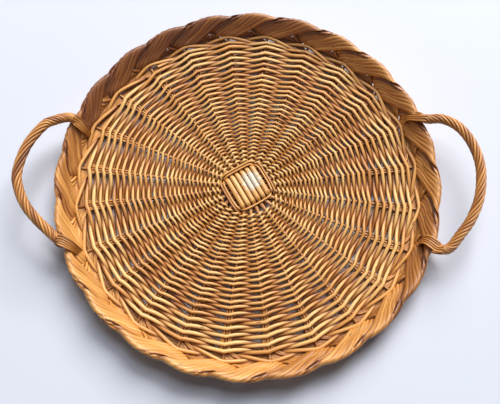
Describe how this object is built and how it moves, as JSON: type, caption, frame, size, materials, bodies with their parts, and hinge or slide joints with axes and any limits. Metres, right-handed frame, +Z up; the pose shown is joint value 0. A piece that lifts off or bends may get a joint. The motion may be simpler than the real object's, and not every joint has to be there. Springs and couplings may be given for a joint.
{
  "type": "wicker plate",
  "caption": "Round woven willow plate or tray with a low plaited border and a twisted bow handle on each side.",
  "frame": {"origin": "under the middle of the tray, on the surface that it stands on", "axes": "+X from handle to handle, +Y towards the back of the picture, +Z up out of the tray"},
  "size_m": [0.4484, 0.3702, 0.0461],
  "materials": {
    "pierced_sticks": "waxed",
    "through_sticks": "waxed",
    "bindings": "waxed",
    "pale_weavers": "waxed",
    "dark_weavers": "waxed",
    "edge_rods": "waxed",
    "border_stakes": "waxed",
    "handle_cores": "waxed",
    "handle_rods": "waxed"
  },
  "bodies": {
    "root": {"pierced_stick_1": "pierced_sticks", "pierced_stick_2": "pierced_sticks", "pierced_stick_3": "pierced_sticks", "pierced_stick_4": "pierced_sticks", "pierced_stick_5": "pierced_sticks", "pierced_stick_6": "pierced_sticks", "through_stick_1": "through_sticks", "through_stick_2": "through_sticks", "through_stick_3": "through_sticks", "through_stick_4": "through_sticks", "through_stick_5": "through_sticks", "through_stick_6": "through_sticks", "cross_binding_a": "bindings", "cross_binding_b": "bindings", "floor_weaver_a": "pale_weavers", "floor_weaver_b": "dark_weavers", "edge_rod_1": "edge_rods", "edge_rod_2": "edge_rods", "edge_rod_3": "edge_rods", "border_bundle_01": "border_stakes", "border_bundle_02": "border_stakes", "border_bundle_03": "border_stakes", "border_bundle_04": "border_stakes", "border_bundle_05": "border_stakes", "border_bundle_06": "border_stakes", "border_bundle_07": "border_stakes", "border_bundle_08": "border_stakes", "border_bundle_09": "border_stakes", "border_bundle_10": "border_stakes", "border_bundle_11": "border_stakes", "border_bundle_12": "border_stakes", "border_bundle_13": "border_stakes", "border_bundle_14": "border_stakes", "border_bundle_15": "border_stakes", "border_bundle_16": "border_stakes", "border_bundle_17": "border_stakes", "border_bundle_18": "border_stakes", "border_bundle_19": "border_stakes", "border_bundle_20": "border_stakes", "border_bundle_21": "border_stakes", "border_bundle_22": "border_stakes", "border_bundle_23": "border_stakes", "border_bundle_24": "border_stakes", "handle_core_left": "handle_cores", "handle_strand_left_1": "handle_rods", "handle_strand_left_2": "handle_rods", "handle_strand_left_3": "handle_rods", "handle_strand_left_4": "handle_rods", "handle_strand_left_5": "handle_rods", "handle_splice_left_back": "handle_rods", "handle_splice_left_front": "handle_rods", "handle_core_right": "handle_cores", "handle_strand_right_1": "handle_rods", "handle_strand_right_2": "handle_rods", "handle_strand_right_3": "handle_rods", "handle_strand_right_4": "handle_rods", "handle_strand_right_5": "handle_rods", "handle_splice_right_back": "handle_rods", "handle_splice_right_front": "handle_rods"}
  },
  "joints": []
}
